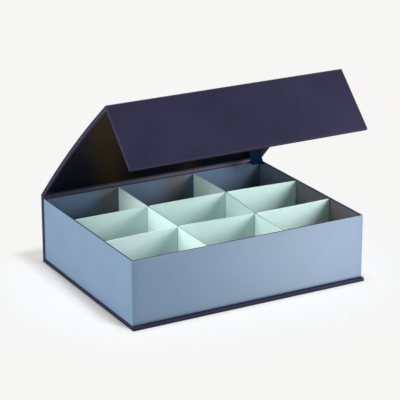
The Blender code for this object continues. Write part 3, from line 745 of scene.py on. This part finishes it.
# Cloth drawn round two edges of a board and open at its ends: spine and lid
def drawnAcross(name, place, stations, look):
    # the section runs round the board and back inside one cloth away, and is carried along its stations
    radius = case["edgeRadius"]
    small = radius - thick
    inner = halfCase - thick
    tip = inner - look["turnIn"]
    corners = [
        (tip, caseStack, 0),
        (halfCase, caseStack, radius),
        (halfCase, 0, radius),
        (-halfCase, 0, radius),
        (-halfCase, caseStack, radius),
        (-tip, caseStack, 0),
        (-tip, caseStack - thick, 0),
        (-inner, caseStack - thick, small),
        (-inner, thick, small),
        (inner, thick, small),
        (inner, caseStack - thick, small),
        (tip, caseStack - thick, 0),
    ]
    outline = closedSection(corners, longest["face"])
    points = place(outline[:, 0], stations[:, None], outline[:, 1])
    uv = pointsOf(lengthAlong(outline) - halfCase, stations[:, None])
    wear = wearOf(outline, np.abs(outline[:, 0]) > halfCase - 1e-6, look)
    return skin(name, points, uv, cloth, closeColumns=True, wear=wear)


cover = drawnRound("base_cover", onBase, trayHigh[1] - caseLow[1], covers["base"])
dress(cover, "case", "cover_cloth", "base_cloth")

cover = drawnRound("flap_cover", onFlapEdge, flapReach - flapSplit, covers["flap"])
dress(cover, "flap", "cover_cloth", "flap_cloth")

footSteps = case["edgeRadius"] * (1 - np.cos(np.linspace(0, math.pi / 2, 5)))
spineStations = np.concatenate([footSteps, np.linspace(6 * mm, spineBoardTop, 12)])
cover = drawnAcross("spine_cover", onSpine, spineStations, covers["spine"])
dress(cover, "case", "cover_cloth", "spine_cloth")

cover = drawnAcross("lid_cover", onLid, np.linspace(lidSplit, lidChord - lidSplit, 49), covers["lid"])
dress(cover, "lid", "cover_cloth", "lid_cloth")
print("board covers made")

# Cloth webs in the two folds: how round each is, and how far to both sides of the fold it bends
foldWebs = {
    "spine": {"radius": 1.5 * mm, "bendReach": 1.3 * mm, "step": 0.05 * mm},
    "flap": {"radius": 1.1 * mm, "bendReach": 1.2 * mm},
}


def sideOf(place, along, depth):
    # the (y, z) of a place on a board
    return place(0.0, along, depth)[1:]


def foldWeb(name, look, outer, inner):
    # The rounded (y, z) line through the outer corners is thickened to both sides by half the cloth along
    # its normal, and the closed section runs along X. In the last cloth at each end the inner side moves to
    # the inner corners of the fold, a web that closes it.
    first, corner, last = outer
    line = roundedOutline([(*first, 0), (*corner, look["radius"]), (*last, 0)], steps=9)
    line = refined(startAt(line, first), longest["fold"])
    step = np.gradient(line, axis=0)
    normal = unit(np.stack([-step[:, 1], step[:, 0]], 1)) * thick / 2
    run = lengthAlong(line)
    corners = np.array(inner)
    share = lengthAlong(corners) / lengthAlong(corners)[-1]
    webLine = np.stack([np.interp(run / run[-1], share, corners[:, i]) for i in (0, 1)], 1)
    thin = looped(line + normal, line - normal)
    web = looped(line + normal, webLine)
    wear = looped(bendOf(line) * case["outerWear"], bendOf(line))
    inside = halfCase - thick
    across = np.concatenate([[-halfCase, -inside], np.linspace(-inside, inside, 28), [inside, halfCase]])
    closed = np.abs(across) >= inside
    closed[[2, -3]] = False  # doubled stations
    section = np.where(closed[:, None, None], web, thin)
    points = pointsOf(across[:, None], section[..., 0], section[..., 1])
    uv = pointsOf(across[:, None], looped(run, run))
    made = skin(name, points, uv, cloth, closeColumns=True, wear=wear, merge=1e-7)
    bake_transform(made)


foldWeb(
    "spine_fold_cloth", foldWebs["spine"],
    [(caseBack - thick / 2, spineBoardTop), lidFold[1:], sideOf(onLid, lidSplit, thick / 2)],
    [
        (caseBack - caseStack, spineBoardTop),
        (caseBack - caseStack, spineBoardTop + foldWebs["spine"]["step"]),
        sideOf(onLid, lidSplit, caseStack),
    ],
)
foldWeb(
    "flap_fold_cloth", foldWebs["flap"],
    [sideOf(onLidEnd, lidSplit, thick / 2), flapFold[1:], sideOf(onFlap, flapSplit, thick / 2)],
    [sideOf(onLidEnd, lidSplit, caseStack), sideOf(onFlap, flapSplit, caseStack)],
)

# Joint cloths inside the folds. Each lies under the cover, down the board's end and round to its inner
# face. A pair gives how rubbed it is at its left end and from its middle on, and its edges are rubbed more.
jointWear = {
    "lidBack": (0.25, 0.6), "lidFront": (0.5, 0.5), "flap": (0.5, 0.5), "spine": (0.2, 0.75), "edges": 0.2,
}


def jointStrip(name, node, body, place, corners, worn):
    # a closed section of (along, depth, radius) corners at a place, run across the box
    corners = [(*sideOf(place, along, depth), radius) for along, depth, radius in corners]
    section = closedSection(corners, longest["joint"])
    across = np.linspace(-(halfCase - seat), halfCase - seat, 24)[:, None]
    points = pointsOf(across, section[:, 0], section[:, 1])
    uv = pointsOf(across, lengthAlong(section))
    wear = np.interp(across, (-halfCase, 0), worn) + bendOf(section) * jointWear["edges"]
    made = skin(name, points, uv, cloth, closeColumns=True, wear=wear)
    dress(made, body, "cover_cloth", node)


proud = case["layerProud"]
boardEnd = thick * 2 + case["board"] + seat * 3 - thick / 2
border = boardEnd + thick + turnIn
jointStart = 0.9 * mm
under = thick + seat * 0.4
innerFace = caseStack + proud
lidJoint = [
    (jointStart, under, 0),
    (boardEnd + thick, under, 0.05 * mm),
    (boardEnd + thick, caseStack - thick, 0.05 * mm),
    (border, caseStack - thick, 0),
    (border, innerFace, 0.1 * mm),
    (boardEnd, innerFace, 0.6 * mm),
    (boardEnd, thick * 2 + seat, 0.7 * mm),
    (jointStart, thick * 2 + seat, 0.15 * mm),
]
jointStrip("lid_back_joint", "lid_back_joint_cloth", "lid", onLid, lidJoint, jointWear["lidBack"])
jointStrip("lid_front_joint", "lid_front_joint_cloth", "lid", onLidEnd, lidJoint, jointWear["lidFront"])

flapTop = lidFold[2] - (spineBoardTop + seat) - thick
flapBorder = flapTop + thick * 1.5 + turnIn
flapJoint = [
    (flapTop, thick + seat, 0.1 * mm),
    (flapTop, innerFace, 0.6 * mm),
    (flapBorder, innerFace, 0.1 * mm),
    (flapBorder, caseStack - thick, 0),
    (flapTop + thick, caseStack - thick, 0.05 * mm),
    (flapTop + thick, thick + seat, 0),
]
jointStrip("flap_joint", "flap_joint_cloth", "flap", onFlap, flapJoint, jointWear["flap"])

spineOuter = caseBack - thick - seat
spineJoint = [
    (spineFace - proud, thick + seat, 0),
    (spineFace - proud, spineJointTop, 0.6 * mm),
    (spineOuter, spineJointTop, 0.1 * mm),
    (spineOuter, spineJointTop - thick, 0),
    (spineFace + thick, spineJointTop - thick, 0.1 * mm),
    (spineFace + thick, thick + seat, 0),
]
jointStrip("spine_joint", "spine_lining", "case", pointsOf, spineJoint, jointWear["spine"])
print("folds made")

# Lining papers, pasted over the turned-in cloth by a lap. The flap's is cut from further along the sheet.
linings = {
    "thickness": 0.42 * mm,
    "lap": 0.4 * mm,
    "level": caseStack + proud * 1.6,
    "flapCutFrom": 0.5,
    "easedEdge": (0, 0.35 * mm, 1.0 * mm),
    "evenFrom": 3 * mm,
}


def pastedSheet(name, place, near, far, halfWidth, level, thickness, material, cutFrom=0.0):
    # A thin closed sheet on a grid, with its four edges eased down to the cloth under it by a quarter
    # circle. Its rows run out over the shown side and back under the hidden one.
    edge, even = np.array(linings["easedEdge"]), linings["evenFrom"]
    across = np.linspace(even - halfWidth, halfWidth - even, 26)
    across = np.concatenate([edge - halfWidth, across, halfWidth - edge[::-1]])
    along = np.concatenate([near + edge, np.linspace(near + even, far - even, 40), far - edge[::-1]])
    fromSide = np.minimum(halfWidth - np.abs(across), edge[2])
    fromEnd = np.minimum(np.minimum(along - near, far - along), edge[2])
    ease = np.minimum(fromSide[None], fromEnd[:, None]) / edge[2]
    shown = level - thickness * (1 - np.sqrt(np.clip(1 - (1 - ease) ** 2, 0, 1)))
    hidden = np.full_like(shown, level - thickness)
    a, f = np.meshgrid(across, along)
    points = looped(place(a, f, shown), place(a, f, hidden))
    uv = pointsOf(looped(a, a), looped(f, f) + cutFrom)
    return skin(name, points, uv, material, closeRows=True, wear=looped(1 - ease, 1 - ease), merge=1e-6)


liningMargin = thick + turnIn - linings["lap"]
lidNear = border - linings["lap"]
paste = (halfCase - liningMargin, linings["level"], linings["thickness"], liningPaper)
sheet = pastedSheet("lid_lining_sheet", onLid, lidNear, lidChord - lidNear, *paste)
dress(sheet, "lid", "dark_lining", "lid_lining")

flapNear, flapFar = flapBorder - linings["lap"], flapReach - liningMargin
sheet = pastedSheet("flap_lining_sheet", onFlap, flapNear, flapFar, *paste, linings["flapCutFrom"])
dress(sheet, "flap", "dark_lining", "flap_lining")
print("linings made")

# Tray papers, carried round its rectangle
tray = {
    "paper": 0.2 * mm,
    "wallThick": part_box("cross_divider_left")[0].y - trayLow[1] - 0.3 * mm,
    "cornerRadius": 0.9 * mm,
    "innerRadius": 0.3 * mm,
    "footRadius": 0.5 * mm,
    "rimRadius": 0.5 * mm,
    "turnIn": 12 * mm,
    "wrapShown": 0.55 * mm,
    "rimLap": 0.4 * mm,  # how far the wrap goes on under the rim's paper
    "rimStep": 0.06 * mm,
    "rimDrop": 0.9 * mm,
    "liningStep": 0.02 * mm,
    "floorLap": 0.1 * mm,
    "cornerWear": 0.35,
}
paper, wall = tray["paper"], tray["wallThick"]


def cornered(flat, radius):
    # 1 at the stations on a corner's arc, 0 on the straight sides
    reach = radius * 1.01
    across = np.abs(flat[:, 0, 0]) > halfTray - reach
    along = (flat[:, 0, 1] < trayLow[1] + reach) | (flat[:, 0, 1] > trayHigh[1] - reach)
    return (across & along).astype(float)


def carriedRound(name, corners, radius, material):
    # a closed profile of (inset, height, radius) corners, carried round the tray's rounded rectangle
    outline = closedSection(corners, longest["tray"])
    box = (halfTray, trayLow[1], trayHigh[1], radius, True)
    flat = course(outline[:, 0], *box)
    ring = lengthAlong(course(np.zeros(1), *box)[:, 0])
    points = pointsOf(flat[..., 0], flat[..., 1], outline[:, 1])
    uv = pointsOf(ring[:, None], lengthAlong(outline))
    wear = np.clip(bendOf(outline) + cornered(flat, radius)[:, None] * tray["cornerWear"], 0, 1)
    return skin(name, points, uv, material, closeRows=True, closeColumns=True, wear=wear, merge=1e-7)


foot = trayLow[2]
wrapTop = rimHeight - tray["rimStep"]
wrapTip = tray["wrapShown"] + tray["rimLap"]
wrapCorners = [
    (tray["turnIn"], foot, 0),
    (0, foot, tray["footRadius"]),
    (0, wrapTop, tray["rimRadius"]),
    (wrapTip, wrapTop, 0),
    (wrapTip, wrapTop - paper, 0),
    (paper, wrapTop - paper, tray["rimRadius"] - paper),
    (paper, foot + paper, tray["footRadius"] - paper),
    (tray["turnIn"], foot + paper, 0),
]
wrap = carriedRound("tray_wrap", wrapCorners, tray["cornerRadius"], wrapPaper)
dress(wrap, "case", "wrap_paper", "tray_outer_paper")

rimFoot = rimHeight - tray["rimDrop"]
rimCorners = [
    (tray["wrapShown"], rimHeight, 0.05 * mm),
    (wall, rimHeight, tray["rimRadius"]),
    (wall, rimFoot, 0),
    (wall - paper, rimFoot, 0),
    (wall - paper, rimHeight - paper, tray["rimRadius"] - paper),
    (tray["wrapShown"], rimHeight - paper, 0),
]
rim = carriedRound("tray_rim", rimCorners, tray["innerRadius"], rimPaper)
dress(rim, "case", "inner_paper")

lined = wall - tray["liningStep"]
liningFoot = trayFloor + tray["floorLap"]
wallCorners = [
    (lined, rimFoot, 0), (lined, liningFoot, 0), (lined - paper, liningFoot, 0), (lined - paper, rimFoot, 0),
]
lining = carriedRound("tray_wall_lining", wallCorners, tray["innerRadius"], slatePaper)
dress(lining, "case", "inner_paper", "tray_inner_paper")

floorInset = wall - tray["floorLap"]
floorEdges = (trayLow[1] + floorInset, trayHigh[1] - floorInset, halfTray - floorInset)
sheet = pastedSheet("tray_floor_sheet", pointsOf, *floorEdges, trayFloor, paper, floorPaper)
dress(sheet, "case", "inner_paper", "tray_floor_paper")
print("tray papers made")

# Dividers: the die-cut strips keep their solids' shape, with their cut edges softened
dividers = {"softEdge": 0.16 * mm, "sharpDegrees": 30, "softFromDegrees": 40}


def softened(node, material):
    # the solid's mesh with its doubles joined, and a narrow bevel on the edges that turn sharply enough
    copy = frame["nodes"][node].data.copy()
    copy.name = node + "_card"
    copy.materials.clear()
    made = tidied(node + "_card", copy, material, merge=1e-6, sharpDegrees=dividers["sharpDegrees"])
    bevel = made.modifiers.new("softEdges", "BEVEL")
    bevel.width = dividers["softEdge"]
    bevel.segments = 2
    bevel.limit_method = "ANGLE"
    bevel.angle_limit = math.radians(dividers["softFromDegrees"])
    dress(made, "case", "mint_card", node)


for strip in ("long_divider_back", "long_divider_front", "cross_divider_left", "cross_divider_right"):
    softened(strip, longCard if "long" in strip else crossCard)
print("dividers made")

# The ribbon hangs slack from under the lid's lining, turns under and goes back to the seam at the spine.
# Each row is (across, from the fold, above the fold, turn of its width in degrees), in mm.
ribbon = {
    "width": satinLook["width"],
    "thickness": 0.28 * mm,
    "cup": 0.35 * mm,
    "bendBeforeEnd": 3 * mm,
    "route": (
        (139.3, -24.3, 19.6, 0),
        (139.4, -25.5, 17.3, 0),
        (139.5, -28.0, 12.6, -3),
        (139.8, -30.9, 7.2, -8),
        (139.9, -33.2, 2.9, -13),
        (140.7, -33.0, 1.2, -13),
        (142.2, -30.4, 0.2, -11),
        (146.4, -22.0, -1.2, -6),
        (150.8, -12.0, -2.6, -2),
        (152.8, -4.6, -3.3, 0),
    ),
}


def ribbonPiece():
    # the centre line is a smooth curve; across it the band is cupped by a parabola and rounded at its
    # selvedges
    line = smoothLine(ribbon["route"], 8)
    centre = pointsOf(line[:, 0] * mm, lidFold[1] + line[:, 1] * mm, lidFold[2] + line[:, 2] * mm)
    turn = np.radians(line[:, 3])
    wide = pointsOf(np.cos(turn), np.sin(turn), 0.0)
    normal = unit(np.cross(wide, unit(np.gradient(centre, axis=0))))
    share = np.linspace(-1, 1, 15)
    half = ribbon["thickness"] / 2 * np.sqrt(np.clip(1 - np.abs(share) ** 10, 0.02, 1))
    cup = ribbon["cup"] * (1 - share**2)
    across = looped(share, share) * ribbon["width"] / 2
    lift = looped(cup + half, cup - half)
    points = centre[:, None] + wide[:, None] * across[:, None] + normal[:, None] * lift[:, None]
    run = lengthAlong(centre)
    made = skin("lid_ribbon_band", points, pointsOf(across, run[:, None]), ribbonSatin, closeColumns=True)
    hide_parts("lid_ribbon")
    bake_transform(made)
    return run[-1]


print(f"ribbon made, {ribbonPiece() * 1000:.1f} mm long")

# Stage: floor, light and camera
stage = {
    "floorSize": 14.0,
    "floorColours": ("#c6c6c6", "#c9c9c9"),
    "floorGrain": 400.0,
    "worldStrength": 0.1,
    "lightsAim": (0, 0, 0.1),
    "target": (-8.05 * mm, -10.85 * mm, 101.74 * mm),
    "azimuth": -29.0,
    "elevation": 19.72,
    "distance": 2.3066,
    "lens": 164.6,
}

# Lights: place as degrees round from the front towards the right, degrees above the floor and metres away.
# The floor's lamps are a warm one and a cool one that make white, so that the shadow isn't blue.
lights = {
    "floorLamp": {"place": (0, 89), "power": 3.45, "angle": 10, "on": "floor", "tint": (1.03, 1.0, 0.97)},
    "floorSideLamp": {
        "place": (26, 62), "power": 1.49, "angle": 12,
        "on": "floor", "tint": (0.944, 1.0, 1.056), "shadowOf": "case",
    },
    "frontSoftbox": {"place": (50, 25, 1.25), "power": 17.6, "size": 0.7, "on": "box"},
    "leftSoftbox": {"place": (-75, 16, 1.1), "power": 6.4, "size": 0.7, "on": "box"},
    "leftHighSoftbox": {"place": (-80, 42, 1.0), "power": 2.6, "size": 0.5, "on": "box"},
    "leftRearSoftbox": {"place": (-100, 22, 1.0), "power": 4.9, "size": 0.5, "on": "box"},
    "cornerReflector": {"place": (38, 0, 0.45), "power": 0.34, "size": 0.2, "on": "box"},
    "lowReflector": {
        "place": (34, -19, 0.64), "power": 1.42, "size": 0.22,
        "on": "box", "shadowOf": "case", "glossOnly": True,
    },
}


def directionFrom(azimuth, elevation):
    # unit vector towards a place round the object: azimuth 0 is the front, 90 the right
    a, e = math.radians(azimuth), math.radians(elevation)
    return Vector((math.sin(a) * math.cos(e), -math.cos(a) * math.cos(e), math.sin(e)))


def makeFloor():
    # a flat square, painted an even matt grey
    made, tree = startMaterial("paintedStudioFloor", Roughness=0.9, Specular_IOR_Level=0.1)
    place = addNode(tree, "TexCoord", out="Object")
    grain = addNode(tree, "TexNoise", {"Vector": place, "Scale": stage["floorGrain"], "Detail": 2.0})
    tone = addNode(tree, "ValToRGB", {"Fac": grain}, stops=list(zip((0.0, 1.0), stage["floorColours"])))
    tree.links.new(tone, tree.nodes["Principled BSDF"].inputs["Base Color"])
    mesh = bpy.data.meshes.new("studio_floor")
    half = stage["floorSize"] / 2
    corners = [(-half, -half, 0), (half, -half, 0), (half, half, 0), (-half, half, 0)]
    mesh.from_pydata(corners, [], [(0, 1, 2, 3)])
    mesh.materials.append(made)
    floor = intoScene("studio_floor", mesh)
    return floor


def makeLights(floor):
    # the floor's light and the box's lights are kept apart, so that the floor stays even
    world = bpy.data.worlds.new("studio")
    world.use_nodes = True
    scene.world = world
    sky = world.node_tree.nodes["Background"]
    sky.inputs["Color"].default_value = (1, 1, 1, 1)
    sky.inputs["Strength"].default_value = stage["worldStrength"]
    for name, look in lights.items():
        kind = "AREA" if "size" in look else "SUN"
        lamp = bpy.data.lights.new(name, kind)
        lamp.energy = look["power"]
        lamp.color = look.get("tint", (1, 1, 1))
        light = intoScene(name, lamp)
        direction = directionFrom(*look["place"][:2])
        light.rotation_euler = direction.to_track_quat("Z", "Y").to_euler()
        light.visible_diffuse = not look.get("glossOnly", False)
        if kind == "AREA":
            lamp.size = look["size"]
            light.visible_camera = False
            light.location = Vector(stage["lightsAim"]) + direction * look["place"][2]
        else:
            lamp.angle = math.radians(look["angle"])
        lit = bpy.data.collections.new(name + "_lit")
        lit.objects.link(floor)
        state = "INCLUDE" if look["on"] == "floor" else "EXCLUDE"
        lit.collection_objects[0].light_linking.link_state = state
        light.light_linking.receiver_collection = lit
        if "shadowOf" in look:
            shading = bpy.data.collections.new(name + "_shading")
            for piece in frame["bodies"][look["shadowOf"]].children_recursive:
                shading.objects.link(piece)
            light.light_linking.blocker_collection = shading


def makeCamera():
    # looks back at the target from its direction and distance
    lens = bpy.data.cameras.new("view")
    lens.lens = stage["lens"]
    lens.clip_end = 50
    camera = intoScene("view", lens)
    back = directionFrom(stage["azimuth"], stage["elevation"])
    camera.location = Vector(stage["target"]) + back * stage["distance"]
    camera.rotation_euler = back.to_track_quat("Z", "Y").to_euler()
    bpy.context.scene.camera = camera


makeLights(makeFloor())
makeCamera()
scene.view_settings.view_transform = "Standard"
scene.view_settings.look = "None"

print("scene ready")
